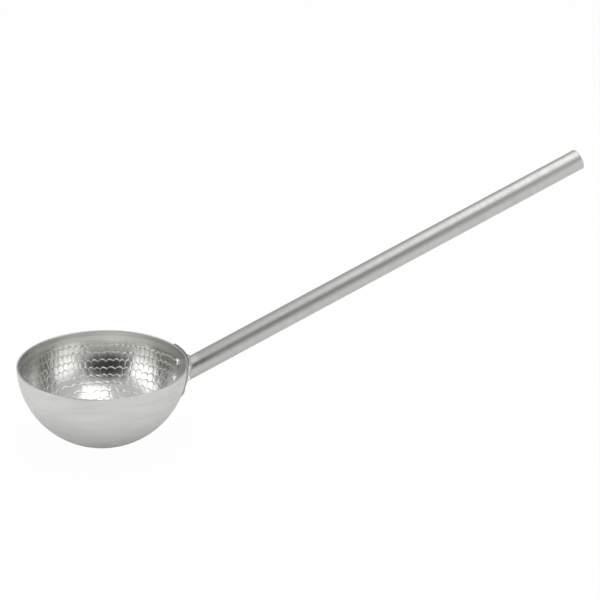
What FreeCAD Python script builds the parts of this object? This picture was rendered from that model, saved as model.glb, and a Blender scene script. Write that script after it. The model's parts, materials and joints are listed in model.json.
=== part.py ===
import FreeCAD, Part
import math
import os
import Sketcher
from enum import IntEnum

# A beaten aluminium water dipper: a half-round bowl, and a straight pipe handle that rises
# from a curved saddle plate riveted to the bowl's outer wall.
# Millimetres. The origin is the centre of the bowl's small flat base, +Z is up with the rim
# level, and the handle leaves towards +X. The dipper mirrors left to right about the XZ plane.

# Driving dimensions: (alias, value, what it measures).
DRIVING_SIZES = (
    ("bowl_outer_radius", 75, "outer radius of the half-round bowl, also of its rim"),
    ("bowl_wall", 1.6, "sheet thickness of the bowl"),
    ("base_flat_radius", 13, "radius of the flat that the bowl stands on"),
    ("rim_rounding", 0.5, "rounding of the rim's two edges"),
    ("lap_gap", 0.05, "gap between the bowl's wall and the back of the saddle"),
    ("saddle_thickness", 0.8, "plate thickness of the saddle"),
    ("saddle_top_rise", 1.1, "how far the saddle's top edge stands above the rim"),
    ("saddle_side_margin", 11.3, "from the upper rivets' axes out to the saddle's sides"),
    ("saddle_bottom_margin", 4.1, "from the lower rivets' axes down to the saddle's lower edge"),
    ("saddle_upper_corner_radius", 2, "rounding of the saddle's two upper corners"),
    ("saddle_lower_corner_radius", 16, "rounding of the saddle's two lower corners"),
    ("handle_diameter", 19.5, "outer diameter of the pipe"),
    ("handle_wall", 1.5, "wall thickness of the pipe"),
    ("handle_length", 409.4, "from where the pipe's top line leaves the saddle to its free end"),
    ("handle_rise", 25.9, "degrees by which the handle climbs above level"),
    ("crown_drop", 2.65, "how far below the rim the pipe's top line leaves the saddle"),
    ("tip_rounding", 0.9, "rounding of the pipe's free outer edge"),
    ("weld_leg", 3, "reach of the weld on the pipe and on the saddle"),
    ("plug_thickness", 3, "thickness of the plug's edge in the pipe's free end"),
    ("plug_crown", 0.8, "how far the plug's outer face bulges"),
    ("plug_recess", 0.3, "how far the plug's bulge stays inside the pipe's end"),
    ("plug_clearance", 0.02, "radial clearance of the plug in the pipe"),
    ("rivet_shank_diameter", 4, "diameter of the rivets' shanks"),
    ("rivet_hole_clearance", 0.05, "radial clearance of the shanks in their holes"),
    ("rivet_head_diameter", 7, "diameter of the domed heads inside the bowl"),
    ("rivet_head_height", 1.6, "height of the domed heads"),
    ("rivet_tail_diameter", 6, "diameter of the set tails on the saddle"),
    ("rivet_tail_height", 2.2, "height of the set tails"),
    ("rivet_weld_clearance", 1.25, "gap between the weld and the upper rivets' tails"),
    ("upper_rivet_drop", 13.2, "depth of the upper rivets below the rim"),
    ("lower_rivet_gap", 6.25, "depth of the lower rivets below the pipe's lower side"),
    ("lower_rivet_spacing", 26.5, "distance between the two lower rivets"),
)

# Sizes that follow from the driving ones, as expressions on the sheet.
BOWL_DEPTH = "sqrt(sizes.bowl_outer_radius^2 - sizes.base_flat_radius^2)"
BOWL_INNER_RADIUS = "(sizes.bowl_outer_radius - sizes.bowl_wall)"
SADDLE_BACK_RADIUS = "(sizes.bowl_outer_radius + sizes.lap_gap)"
SADDLE_FACE_RADIUS = f"({SADDLE_BACK_RADIUS} + sizes.saddle_thickness)"
HANDLE_RADIUS = "(sizes.handle_diameter / 2)"
HANDLE_BORE_RADIUS = f"({HANDLE_RADIUS} - sizes.handle_wall)"
UPPER_RIVET_OFFSET = (
    f"({HANDLE_RADIUS} + sizes.weld_leg + sizes.rivet_weld_clearance + sizes.rivet_tail_diameter / 2)"
)
LOWER_RIVET_OFFSET = "(sizes.lower_rivet_spacing / 2)"
UPPER_RIVET_DROP = "sizes.upper_rivet_drop"
LOWER_RIVET_DROP = "(sizes.crown_drop + sizes.handle_diameter + sizes.lower_rivet_gap)"
SADDLE_HALF_WIDTH = f"({UPPER_RIVET_OFFSET} + sizes.saddle_side_margin)"
SADDLE_BOTTOM_DROP = f"({LOWER_RIVET_DROP} + sizes.saddle_bottom_margin)"

# The handle's axis runs in the XZ plane. Its first point is square below the crown, the point
# where the pipe's top line leaves the saddle's outer face.
CROWN_X = f"sqrt({SADDLE_FACE_RADIUS}^2 - sizes.crown_drop^2)"
CROWN_Z = f"({BOWL_DEPTH} - sizes.crown_drop)"
AXIS_X = f"({CROWN_X} + {HANDLE_RADIUS} * sin(sizes.handle_rise))"
AXIS_Z = f"({CROWN_Z} - {HANDLE_RADIUS} * cos(sizes.handle_rise))"

# How far the pipe's stock runs on into the bowl's space before its end is cut to the saddle.
COPE_STOCK = "sizes.handle_diameter"

# Balls about the bowl's centre are turned half round, so that their seams lie off the handle.
BALL_PLACEMENT = f"placement(vector(0; 0; {BOWL_DEPTH}); rotation(vector(0; 0; 1); 180))"

# Share of the weld's square section that its bevel takes off.
WELD_BEVEL_SHARE = 0.7

# How near an edge must lie to the place where it is looked for.
FINDING_TOLERANCE = 0.02

# The four rivets: (name, distance from the XZ plane, depth below the rim). Left is +Y.
RIVETS = (
    ("rivet_upper_left", UPPER_RIVET_OFFSET, UPPER_RIVET_DROP),
    ("rivet_upper_right", f"(-{UPPER_RIVET_OFFSET})", UPPER_RIVET_DROP),
    ("rivet_lower_left", LOWER_RIVET_OFFSET, LOWER_RIVET_DROP),
    ("rivet_lower_right", f"(-{LOWER_RIVET_OFFSET})", LOWER_RIVET_DROP),
)


class SketchAxis(IntEnum):
    """Sketcher's numbers for a sketch's own axes. The horizontal one starts at the origin."""

    HORIZONTAL = -1
    VERTICAL = -2


class SketchPoint(IntEnum):
    """Sketcher's numbers for a point of a line or arc."""

    START = 1
    END = 2
    CENTRE = 3


H_AXIS, V_AXIS = SketchAxis
START, END, CENTRE = SketchPoint

doc = FreeCAD.newDocument("water_dipper")
sheet = doc.addObject("Spreadsheet::Sheet", "sizes")
for row, (alias, value, meaning) in enumerate(DRIVING_SIZES, start=1):
    sheet.set(f"A{row}", alias)
    sheet.set(f"B{row}", str(value))
    sheet.setAlias(f"B{row}", alias)
    sheet.set(f"C{row}", meaning)
doc.recompute()


def worked_out(expression):
    """Value of an expression on the sheet, to start a sketch near its final shape."""
    return float(sheet.evalExpression(expression))


def labelled(shape_object, label):
    """Give a finished sub-part the label that names its file."""
    shape_object.Label = label
    return shape_object


def sketch_on(body, plane_role, name):
    """New sketch of a body, attached to one of the body's own origin planes."""
    plane = [feature for feature in body.Origin.OriginFeatures if feature.Role == plane_role][0]
    sketch = body.newObject("Sketcher::SketchObject", name)
    sketch.AttachmentSupport = [(plane, "")]
    sketch.MapMode = "FlatFace"
    return sketch


def line(sketch, start, end):
    """Add a straight line between two (x, y) points and return its number."""
    return sketch.addGeometry(Part.LineSegment(FreeCAD.Vector(*start), FreeCAD.Vector(*end)), False)


def arc(sketch, centre, start, end):
    """Add an anticlockwise arc about a centre from start to end and return its number."""
    middle = FreeCAD.Vector(*centre)
    radius = math.dist(centre, start)
    first = math.atan2(start[1] - centre[1], start[0] - centre[0])
    last = math.atan2(end[1] - centre[1], end[0] - centre[0])
    circle = Part.Circle(middle, FreeCAD.Vector(0, 0, 1), radius)
    return sketch.addGeometry(Part.ArcOfCircle(circle, first, last), False)


def join(sketch, *corners):
    """Make pairs of end points coincide. Each corner is (line, point, line, point)."""
    for corner in corners:
        sketch.addConstraint(Sketcher.Constraint("Coincident", *corner))


def put_on_axis(sketch, axis, *points):
    """Hold points, each (line, point), on one of the sketch's axes."""
    for point in points:
        sketch.addConstraint(Sketcher.Constraint("PointOnObject", *point, axis))


def dimension(sketch, name, kind, where, expression):
    """Add a named dimension to a sketch and bind it to the sheet."""
    number = sketch.addConstraint(Sketcher.Constraint(kind, *where, worked_out(expression)))
    sketch.renameConstraint(number, name)
    sketch.setExpression(f"Constraints.{name}", expression)


def revolved(body, sketch, axis_name, name):
    """Full turn of a sketch about one of its own axes."""
    revolution = body.newObject("PartDesign::Revolution", name)
    revolution.Profile = sketch
    revolution.ReferenceAxis = (sketch, [axis_name])
    revolution.Angle = 360
    return revolution


def primitive(kind, name, **expressions):
    """Part primitive whose properties follow expressions on the sheet."""
    solid = doc.addObject(kind, name)
    for property_name, expression in expressions.items():
        solid.setExpression(property_name, expression)
    return solid


def cut(name, base, tool):
    """Base less tool."""
    result = doc.addObject("Part::Cut", name)
    result.Base = base
    result.Tool = tool
    return result


def circular_edges(shape, centre_height, radii):
    """Names of a turned shape's horizontal circles at one height with one of the radii."""
    names = []
    for number, edge in enumerate(shape.Edges, start=1):
        if not isinstance(edge.Curve, Part.Circle):
            continue
        level = abs(edge.Curve.Center.z - centre_height) < FINDING_TOLERANCE
        if level and any(abs(edge.Curve.Radius - radius) < FINDING_TOLERANCE for radius in radii):
            names.append(f"Edge{number}")
    return names


def rivet_placement(offset, drop):
    """Frame at the bowl's centre whose X axis points out through a rivet.

    The bowl is turned by the rivet's angle about Z, then tipped down by its depth.
    """
    ring_radius = f"sqrt(sizes.bowl_outer_radius^2 - {drop}^2)"
    turn = f"rotation(vector(0; 0; 1); asin({offset} / {ring_radius}))"
    tip = f"rotation(vector(0; 1; 0); asin({drop} / sizes.bowl_outer_radius))"
    return f"placement(vector(0; 0; {BOWL_DEPTH}); {turn} * {tip})"


def handle_placement(distance):
    """Frame on the handle's axis, Z along it, at a distance from the axis's first point."""
    x = f"{AXIS_X} + ({distance}) * cos(sizes.handle_rise)"
    z = f"{AXIS_Z} + ({distance}) * sin(sizes.handle_rise)"
    return f"placement(vector({x}; 0; {z}); rotation(vector(0; 1; 0); 90 - sizes.handle_rise))"


def build_rivet_bores():
    """Four pins along the rivets' axes, from the bowl's centre out past the saddle."""
    pins = []
    for name, offset, drop in RIVETS:
        quarter_turn = "placement(vector(0; 0; 0); rotation(vector(0; 1; 0); 90))"
        pin = primitive(
            "Part::Cylinder",
            f"{name}_bore",
            Radius="sizes.rivet_shank_diameter / 2 + sizes.rivet_hole_clearance",
            Height=f"{SADDLE_FACE_RADIUS} + sizes.rivet_tail_height",
            Placement=f"{rivet_placement(offset, drop)} * {quarter_turn}",
        )
        pins.append(pin)
    bores = doc.addObject("Part::MultiFuse", "rivet_bores")
    bores.Shapes = pins
    return bores


def build_bowl(rivet_bores):
    """Spun shell: half a ball with a small flat base, one wall thickness all over."""
    depth = worked_out(BOWL_DEPTH)
    outer = worked_out("sizes.bowl_outer_radius")
    inner = worked_out(BOWL_INNER_RADIUS)
    wall = worked_out("sizes.bowl_wall")
    flat = worked_out("sizes.base_flat_radius")
    inner_flat = math.sqrt(inner**2 - (depth - wall) ** 2)

    body = doc.addObject("PartDesign::Body", "bowl_shell")
    profile = sketch_on(body, "XZ_Plane", "bowl_profile")
    outside = arc(profile, (0, depth), (flat, 0), (outer, depth))
    rim = line(profile, (outer, depth), (inner, depth))
    inside = arc(profile, (0, depth), (inner_flat, wall), (inner, depth))
    inner_base = line(profile, (inner_flat, wall), (0, wall))
    axis = line(profile, (0, wall), (0, 0))
    base = line(profile, (0, 0), (flat, 0))
    join(
        profile,
        (outside, END, rim, START),
        (rim, END, inside, END),
        (inside, START, inner_base, START),
        (inner_base, END, axis, START),
        (axis, END, base, START),
        (base, END, outside, START),
        (inside, CENTRE, outside, CENTRE),
        (base, START, H_AXIS, START),
    )
    put_on_axis(profile, V_AXIS, (outside, CENTRE), (inner_base, END))
    put_on_axis(profile, H_AXIS, (base, END))
    profile.addConstraint(Sketcher.Constraint("Horizontal", inner_base))
    profile.addConstraint(Sketcher.Constraint("Horizontal", rim))
    profile.addConstraint(Sketcher.Constraint("Horizontal", rim, START, outside, CENTRE))
    dimension(profile, "outer_radius", "Radius", (outside,), "sizes.bowl_outer_radius")
    dimension(profile, "inner_radius", "Radius", (inside,), BOWL_INNER_RADIUS)
    dimension(profile, "flat_radius", "DistanceX", (base, START, base, END), "sizes.base_flat_radius")
    dimension(profile, "base_thickness", "DistanceY", (base, START, axis, START), "sizes.bowl_wall")
    spun = revolved(body, profile, "V_Axis", "bowl_spun")
    doc.recompute()

    rounding = body.newObject("PartDesign::Fillet", "rim_edges")
    rounding.Base = (spun, circular_edges(spun.Shape, depth, (outer, inner)))
    rounding.setExpression("Radius", "min(sizes.rim_rounding; 0.45 * sizes.bowl_wall)")
    body.Tip = rounding
    return labelled(cut("bowl_bored", body, rivet_bores), "bowl")


def build_saddle(saddle_face, rivet_bores):
    """Plate pressed to the bowl's curve: a ball shell cut to a rounded rectangle seen along X."""
    half_width = worked_out(SADDLE_HALF_WIDTH)
    low = worked_out(f"{BOWL_DEPTH} - {SADDLE_BOTTOM_DROP}")
    high = worked_out(f"{BOWL_DEPTH} + sizes.saddle_top_rise")
    upper = worked_out("sizes.saddle_upper_corner_radius")
    lower = worked_out("sizes.saddle_lower_corner_radius")

    back = primitive("Part::Sphere", "saddle_back", Radius=SADDLE_BACK_RADIUS, Placement=BALL_PLACEMENT)
    shell = cut("saddle_ball_shell", saddle_face, back)

    body = doc.addObject("PartDesign::Body", "saddle_outline")
    outline = sketch_on(body, "YZ_Plane", "saddle_outline_sketch")
    low_end, high_end = half_width - lower, half_width - upper
    bottom, top = low + lower, high - upper
    sides = (
        line(outline, (-low_end, low), (low_end, low)),
        line(outline, (half_width, bottom), (half_width, top)),
        line(outline, (high_end, high), (-high_end, high)),
        line(outline, (-half_width, top), (-half_width, bottom)),
    )
    corners = (
        arc(outline, (low_end, bottom), (low_end, low), (half_width, bottom)),
        arc(outline, (high_end, top), (half_width, top), (high_end, high)),
        arc(outline, (-high_end, top), (-high_end, high), (-half_width, top)),
        arc(outline, (-low_end, bottom), (-half_width, bottom), (-low_end, low)),
    )
    for number in range(len(sides)):
        following = (number + 1) % len(sides)
        outline.addConstraint(Sketcher.Constraint("Tangent", sides[number], END, corners[number], START))
        outline.addConstraint(Sketcher.Constraint("Tangent", corners[number], END, sides[following], START))
    outline.addConstraint(Sketcher.Constraint("Horizontal", sides[2]))
    for number in (1, 3):
        outline.addConstraint(Sketcher.Constraint("Vertical", sides[number]))
    outline.addConstraint(Sketcher.Constraint("Equal", corners[0], corners[3]))
    outline.addConstraint(Sketcher.Constraint("Equal", corners[1], corners[2]))
    outline.addConstraint(Sketcher.Constraint("Symmetric", sides[0], START, sides[0], END, V_AXIS))
    dimension(outline, "lower_corner", "Radius", (corners[0],), "sizes.saddle_lower_corner_radius")
    dimension(outline, "upper_corner", "Radius", (corners[1],), "sizes.saddle_upper_corner_radius")
    dimension(outline, "width", "DistanceX", (sides[3], START, sides[1], START), f"2 * {SADDLE_HALF_WIDTH}")
    dimension(
        outline,
        "lower_edge",
        "DistanceY",
        (H_AXIS, START, sides[0], START),
        f"{BOWL_DEPTH} - {SADDLE_BOTTOM_DROP}",
    )
    dimension(
        outline,
        "upper_edge",
        "DistanceY",
        (H_AXIS, START, sides[2], START),
        f"{BOWL_DEPTH} + sizes.saddle_top_rise",
    )
    block = body.newObject("PartDesign::Pad", "saddle_outline_block")
    block.Profile = outline
    block.setExpression("Length", f"2 * {SADDLE_FACE_RADIUS}")
    body.Tip = block

    plate = doc.addObject("Part::MultiCommon", "saddle_plate")
    plate.Shapes = [shell, body]
    return labelled(cut("saddle_bored", plate, rivet_bores), "handle_saddle")


def build_tube(saddle_face):
    """Round pipe along the handle's axis, its root cut to the saddle's outer face."""
    body = doc.addObject("PartDesign::Body", "tube_stock")
    section = sketch_on(body, "XY_Plane", "tube_section")
    for name, expression in (("outer_radius", HANDLE_RADIUS), ("bore_radius", HANDLE_BORE_RADIUS)):
        circle = Part.Circle(FreeCAD.Vector(0, 0, 0), FreeCAD.Vector(0, 0, 1), worked_out(expression))
        ring = section.addGeometry(circle, False)
        join(section, (ring, CENTRE, H_AXIS, START))
        dimension(section, name, "Radius", (ring,), expression)
    stock = body.newObject("PartDesign::Pad", "tube_drawn")
    stock.Profile = section
    stock.setExpression("Length", f"sizes.handle_length + {COPE_STOCK}")
    doc.recompute()

    rounding = body.newObject("PartDesign::Fillet", "tip_edge")
    tip_height = worked_out(f"sizes.handle_length + {COPE_STOCK}")
    tip_edges = circular_edges(stock.Shape, tip_height, (worked_out(HANDLE_RADIUS),))
    rounding.Base = (stock, tip_edges)
    rounding.setExpression("Radius", "min(sizes.tip_rounding; 0.9 * sizes.handle_wall)")
    body.Tip = rounding
    body.setExpression("Placement", handle_placement(f"-{COPE_STOCK}"))
    return labelled(cut("tube_coped", body, saddle_face), "handle_tube")


def build_weld(saddle_face):
    """Bevelled ring of weld metal in the corner between the pipe and the saddle."""
    around_pipe = handle_placement(f"-{COPE_STOCK}")
    length = f"2 * {COPE_STOCK}"
    reach = f"{HANDLE_RADIUS} + sizes.weld_leg"
    height = f"{SADDLE_FACE_RADIUS} + sizes.weld_leg"
    pipe = primitive(
        "Part::Cylinder", "pipe_wall", Radius=HANDLE_RADIUS, Height=length, Placement=around_pipe
    )
    toe = primitive("Part::Cylinder", "weld_toe", Radius=reach, Height=length, Placement=around_pipe)
    top = primitive("Part::Sphere", "weld_top", Radius=height, Placement=BALL_PLACEMENT)
    ring = doc.addObject("Part::MultiCommon", "weld_ring")
    ring.Shapes = [cut("weld_sleeve", toe, pipe), cut("weld_layer", top, saddle_face)]
    doc.recompute()

    centre = FreeCAD.Vector(0, 0, worked_out(BOWL_DEPTH))
    on_axis = FreeCAD.Vector(worked_out(AXIS_X), 0, worked_out(AXIS_Z))
    along = FreeCAD.Vector(worked_out("cos(sizes.handle_rise)"), 0, worked_out("sin(sizes.handle_rise)"))
    bevel_size = WELD_BEVEL_SHARE * worked_out("sizes.weld_leg")
    corner_edges = []
    for number, edge in enumerate(ring.Shape.Edges, start=1):
        middle = edge.valueAt((edge.FirstParameter + edge.LastParameter) / 2)
        on_top = abs(middle.distanceToPoint(centre) - worked_out(height)) < FINDING_TOLERANCE
        on_toe = abs(middle.distanceToLine(on_axis, along) - worked_out(reach)) < FINDING_TOLERANCE
        if on_top and on_toe:
            corner_edges.append((number, bevel_size, bevel_size))
    bevel = doc.addObject("Part::Chamfer", "weld_bevel")
    bevel.Base = ring
    bevel.Edges = corner_edges
    return labelled(bevel, "weld_bead")


def build_rivet(name, offset, drop):
    """Turned rivet: domed head inside the bowl, shank, and a flatter set tail on the saddle.

    It is drawn along X from the bowl's centre, so that the undersides of head and tail are
    arcs about that centre and lie on the bowl's inner wall and the saddle's outer face.
    """
    inner = worked_out(BOWL_INNER_RADIUS)
    face = worked_out(SADDLE_FACE_RADIUS)
    shank = worked_out("sizes.rivet_shank_diameter / 2")
    head = worked_out("sizes.rivet_head_diameter / 2")
    tail = worked_out("sizes.rivet_tail_diameter / 2")
    head_top = inner - worked_out("sizes.rivet_head_height")
    tail_top = face + worked_out("sizes.rivet_tail_height")

    def at(radius, height):
        """Point of a circle about the bowl's centre at a height above the rivet's axis."""
        return (math.sqrt(radius**2 - height**2), height)

    def dome_centre(edge, top):
        """Place on the axis equally far from a dome's edge and its top."""
        return ((edge[0] ** 2 + edge[1] ** 2 - top**2) / (2 * (edge[0] - top)), 0)

    head_edge, tail_edge = at(inner, head), at(face, tail)
    body = doc.addObject("PartDesign::Body", f"{name}_body")
    profile = sketch_on(body, "XZ_Plane", f"{name}_profile")
    axis = line(profile, (head_top, 0), (tail_top, 0))
    tail_dome = arc(profile, dome_centre(tail_edge, tail_top), (tail_top, 0), tail_edge)
    tail_seat = arc(profile, (0, 0), at(face, shank), tail_edge)
    shank_side = line(profile, at(face, shank), at(inner, shank))
    head_seat = arc(profile, (0, 0), at(inner, shank), head_edge)
    head_dome = arc(profile, dome_centre(head_edge, head_top), head_edge, (head_top, 0))
    join(
        profile,
        (axis, END, tail_dome, START),
        (tail_dome, END, tail_seat, END),
        (tail_seat, START, shank_side, START),
        (shank_side, END, head_seat, START),
        (head_seat, END, head_dome, START),
        (head_dome, END, axis, START),
        (tail_seat, CENTRE, H_AXIS, START),
        (head_seat, CENTRE, H_AXIS, START),
    )
    put_on_axis(profile, H_AXIS, (axis, START), (axis, END), (tail_dome, CENTRE), (head_dome, CENTRE))
    profile.addConstraint(Sketcher.Constraint("Horizontal", shank_side))
    from_origin = (H_AXIS, START)
    dimension(profile, "tail_seat_radius", "Radius", (tail_seat,), SADDLE_FACE_RADIUS)
    dimension(profile, "head_seat_radius", "Radius", (head_seat,), BOWL_INNER_RADIUS)
    dimension(
        profile,
        "tail_top",
        "DistanceX",
        (*from_origin, axis, END),
        f"{SADDLE_FACE_RADIUS} + sizes.rivet_tail_height",
    )
    dimension(
        profile,
        "head_top",
        "DistanceX",
        (*from_origin, axis, START),
        f"{BOWL_INNER_RADIUS} - sizes.rivet_head_height",
    )
    for label, curve, point, size in (
        ("shank_radius", shank_side, START, "sizes.rivet_shank_diameter / 2"),
        ("tail_radius", tail_seat, END, "sizes.rivet_tail_diameter / 2"),
        ("head_radius", head_seat, END, "sizes.rivet_head_diameter / 2"),
    ):
        dimension(profile, label, "DistanceY", (*from_origin, curve, point), size)
    body.Tip = revolved(body, profile, "H_Axis", f"{name}_turned")
    body.setExpression("Placement", rivet_placement(offset, drop))
    return labelled(body, name)


def build_plug():
    """Disc with a bulged outer face, pressed into the pipe's free end."""
    radius_expression = f"{HANDLE_BORE_RADIUS} - sizes.plug_clearance"
    radius = worked_out(radius_expression)
    thickness = worked_out("sizes.plug_thickness")
    crown = worked_out("sizes.plug_crown")
    bulge_radius = (radius**2 + crown**2) / (2 * crown)

    body = doc.addObject("PartDesign::Body", "plug_body")
    profile = sketch_on(body, "XZ_Plane", "plug_profile")
    base = line(profile, (0, 0), (radius, 0))
    side = line(profile, (radius, 0), (radius, thickness))
    bulge = arc(profile, (0, thickness + crown - bulge_radius), (radius, thickness), (0, thickness + crown))
    axis = line(profile, (0, thickness + crown), (0, 0))
    join(
        profile,
        (base, END, side, START),
        (side, END, bulge, START),
        (bulge, END, axis, START),
        (axis, END, base, START),
        (base, START, H_AXIS, START),
    )
    put_on_axis(profile, H_AXIS, (base, END))
    put_on_axis(profile, V_AXIS, (bulge, CENTRE), (bulge, END))
    profile.addConstraint(Sketcher.Constraint("Vertical", side))
    dimension(profile, "plug_radius", "DistanceX", (base, START, base, END), radius_expression)
    dimension(profile, "edge_thickness", "DistanceY", (side, START, side, END), "sizes.plug_thickness")
    dimension(
        profile,
        "whole_thickness",
        "DistanceY",
        (base, START, bulge, END),
        "sizes.plug_thickness + sizes.plug_crown",
    )
    body.Tip = revolved(body, profile, "V_Axis", "plug_pressed")
    inner_face = "sizes.handle_length - sizes.plug_recess - sizes.plug_crown - sizes.plug_thickness"
    body.setExpression("Placement", handle_placement(inner_face))
    return labelled(body, "end_plug")


def check_and_write(subparts):
    """Stop on any failed object, then write each sub-part to its own STEP file."""
    doc.recompute()
    failed = [item.Name for item in doc.Objects if "Invalid" in item.State or "Error" in item.State]
    if failed:
        raise RuntimeError(f"failed objects: {failed}")
    for subpart in subparts:
        if subpart.Shape.isNull() or not subpart.Shape.isValid():
            raise RuntimeError(f"{subpart.Label} has no valid shape")
        if len(subpart.Shape.Solids) != 1:
            raise RuntimeError(f"{subpart.Label} has {len(subpart.Shape.Solids)} solids, not one")
    os.makedirs("parts", exist_ok=True)
    for subpart in subparts:
        subpart.Shape.exportStep(f"parts/{subpart.Label}.step")
        print(f"{subpart.Label}: {subpart.Shape.Volume:.1f} mm3")


# The ball whose surface is the saddle's outer face. The pipe, the weld and the saddle share it.
saddle_face_ball = primitive(
    "Part::Sphere", "saddle_face", Radius=SADDLE_FACE_RADIUS, Placement=BALL_PLACEMENT
)
bores = build_rivet_bores()
doc.recompute()

finished = [build_bowl(bores), build_saddle(saddle_face_ball, bores), build_tube(saddle_face_ball)]
finished.append(build_weld(saddle_face_ball))
for rivet_name, rivet_offset, rivet_drop in RIVETS:
    finished.append(build_rivet(rivet_name, rivet_offset, rivet_drop))
finished.append(build_plug())
check_and_write(finished)
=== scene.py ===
import json
import logging
import math
from dataclasses import dataclass
from enum import Enum
from typing import Callable, Union

import bpy
import numpy as np
from mathutils import Matrix, Vector


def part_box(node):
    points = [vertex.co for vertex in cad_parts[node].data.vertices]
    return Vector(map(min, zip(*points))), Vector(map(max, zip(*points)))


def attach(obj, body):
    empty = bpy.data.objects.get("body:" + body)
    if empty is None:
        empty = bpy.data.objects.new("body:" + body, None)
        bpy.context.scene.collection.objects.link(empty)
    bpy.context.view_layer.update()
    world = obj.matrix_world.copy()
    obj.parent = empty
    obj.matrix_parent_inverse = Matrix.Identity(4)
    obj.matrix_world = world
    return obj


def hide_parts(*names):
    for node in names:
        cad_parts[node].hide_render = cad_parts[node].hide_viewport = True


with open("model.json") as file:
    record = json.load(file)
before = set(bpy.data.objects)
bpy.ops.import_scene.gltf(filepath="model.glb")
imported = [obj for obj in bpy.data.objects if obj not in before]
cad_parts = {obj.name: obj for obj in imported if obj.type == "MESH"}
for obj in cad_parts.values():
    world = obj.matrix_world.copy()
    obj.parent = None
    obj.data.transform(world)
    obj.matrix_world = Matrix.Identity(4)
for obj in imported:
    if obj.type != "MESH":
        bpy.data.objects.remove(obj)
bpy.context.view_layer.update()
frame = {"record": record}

BODY = "root"
MM = 0.001
FULL_TURN = 2.0 * math.pi
QUARTER_TURN = 0.5 * math.pi
# What a surface formula works on: an array of numbers, or a number in a shader tree.
Number = Union[np.ndarray, "NodeValue"]
# Share of the hammer facets that the mesh carries; the shader's bump adds the rest and the burrs.
MESH_SHARE = 0.6
# The visual bowl's rim stays this far inside the CAD's, so that it doesn't leave the CAD's box.
RIM_MARGIN = 0.01 * MM
# Gap between the bowl's wall and the saddle's back.
LAP_GAP = 0.05 * MM
# From the end of the handle's grip mount to the pipe's tip: the tip's rounded edge.
TIP_BEYOND_GRIP = 0.9 * MM
# The rivets' rows: name, distance to either side of the XZ plane, and depth below the rim.
RIVET_ROWS = (("upper", 17.0 * MM, 13.2 * MM), ("lower", 13.25 * MM, 28.4 * MM))

logging.basicConfig(level=logging.INFO, format="%(message)s")
LOG = logging.getLogger("water_dipper")


# ---------------------------------------------------------------- colour and nodes


def linear_colour(srgb_hex: str) -> tuple[float, float, float, float]:
    """Turn an sRGB hex colour into linear red, green, blue and alpha.

    Each channel c in 0..1 becomes c / 12.92 below 0.04045, else ((c + 0.055) / 1.055) ^ 2.4.

    Args:
        srgb_hex: six hex digits after a hash sign.

    Returns:
        Linear colour with an alpha of 1.
    """
    channels = np.array([int(srgb_hex[i : i + 2], 16) / 255.0 for i in (1, 3, 5)])
    low = channels / 12.92
    high = ((channels + 0.055) / 1.055) ** 2.4
    red, green, blue = np.where(channels <= 0.04045, low, high)
    return (float(red), float(green), float(blue), 1.0)


def add_node(
    tree: bpy.types.NodeTree, kind: str, settings: dict | None = None, inputs: dict | None = None
) -> bpy.types.Node:
    """Add one node to a tree, set its properties, and fill or link its input sockets.

    Args:
        tree: the material's or world's node tree.
        kind: Blender's name for the node type.
        settings: property values by name.
        inputs: values or output sockets, by the input socket's name or number.

    Returns:
        The new node.
    """
    made = tree.nodes.new(kind)
    for name, value in (settings or {}).items():
        setattr(made, name, value)
    for name, value in (inputs or {}).items():
        if isinstance(value, bpy.types.NodeSocket):
            tree.links.new(value, made.inputs[name])
        else:
            made.inputs[name].default_value = value
    return made


class NodeValue:
    """Number in a shader tree. Arithmetic on it adds Math nodes."""

    def __init__(self, tree: bpy.types.NodeTree, socket: bpy.types.NodeSocket) -> None:
        """Wrap an output socket of a tree."""
        self.tree = tree
        self.socket = socket

    def math(self, operation: str, *others: "NodeValue | float") -> "NodeValue":
        """Add one Math node with this number as its first input.

        Args:
            operation: Blender's name for the operation.
            others: the further inputs.

        Returns:
            The node's result.
        """
        numbers = (n.socket if isinstance(n, NodeValue) else float(n) for n in (self, *others))
        inputs = dict(enumerate(numbers))
        node = add_node(self.tree, "ShaderNodeMath", {"operation": operation}, inputs)
        return NodeValue(self.tree, node.outputs[0])

    def __add__(self, other: "NodeValue | float") -> "NodeValue":
        return self.math("ADD", other)

    def __sub__(self, other: "NodeValue | float") -> "NodeValue":
        return self.math("SUBTRACT", other)

    def __mul__(self, other: "NodeValue | float") -> "NodeValue":
        return self.math("MULTIPLY", other)

    def __truediv__(self, other: "NodeValue | float") -> "NodeValue":
        return self.math("DIVIDE", other)

    def __rmul__(self, other: float) -> "NodeValue":
        return self.math("MULTIPLY", other)

    def __radd__(self, other: float) -> "NodeValue":
        return self.math("ADD", other)

    def __rsub__(self, other: float) -> "NodeValue":
        return self.math("MULTIPLY", -1.0) + other


class ArrayMaths:
    """The functions that a surface formula needs, for arrays of numbers."""

    floor = staticmethod(np.floor)
    round = staticmethod(np.round)
    sine = staticmethod(np.sin)
    cosine = staticmethod(np.cos)
    size = staticmethod(np.abs)
    smaller = staticmethod(np.minimum)
    larger = staticmethod(np.maximum)
    remainder = staticmethod(np.mod)

    @staticmethod
    def above(value: np.ndarray, limit: np.ndarray) -> np.ndarray:
        """One where the value is above the limit, else zero."""
        return (value > limit) * 1.0


def node_function(operation: str) -> Callable[..., NodeValue]:
    """Make a function of numbers in a shader tree, from one operation of the Math node.

    Args:
        operation: Blender's name for the operation.

    Returns:
        The function, which adds the node to the tree of its first number.
    """

    def add(value: NodeValue, *others: "NodeValue | float") -> NodeValue:
        """Work out the operation on a number and the further ones."""
        return value.math(operation, *others)

    return add


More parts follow.
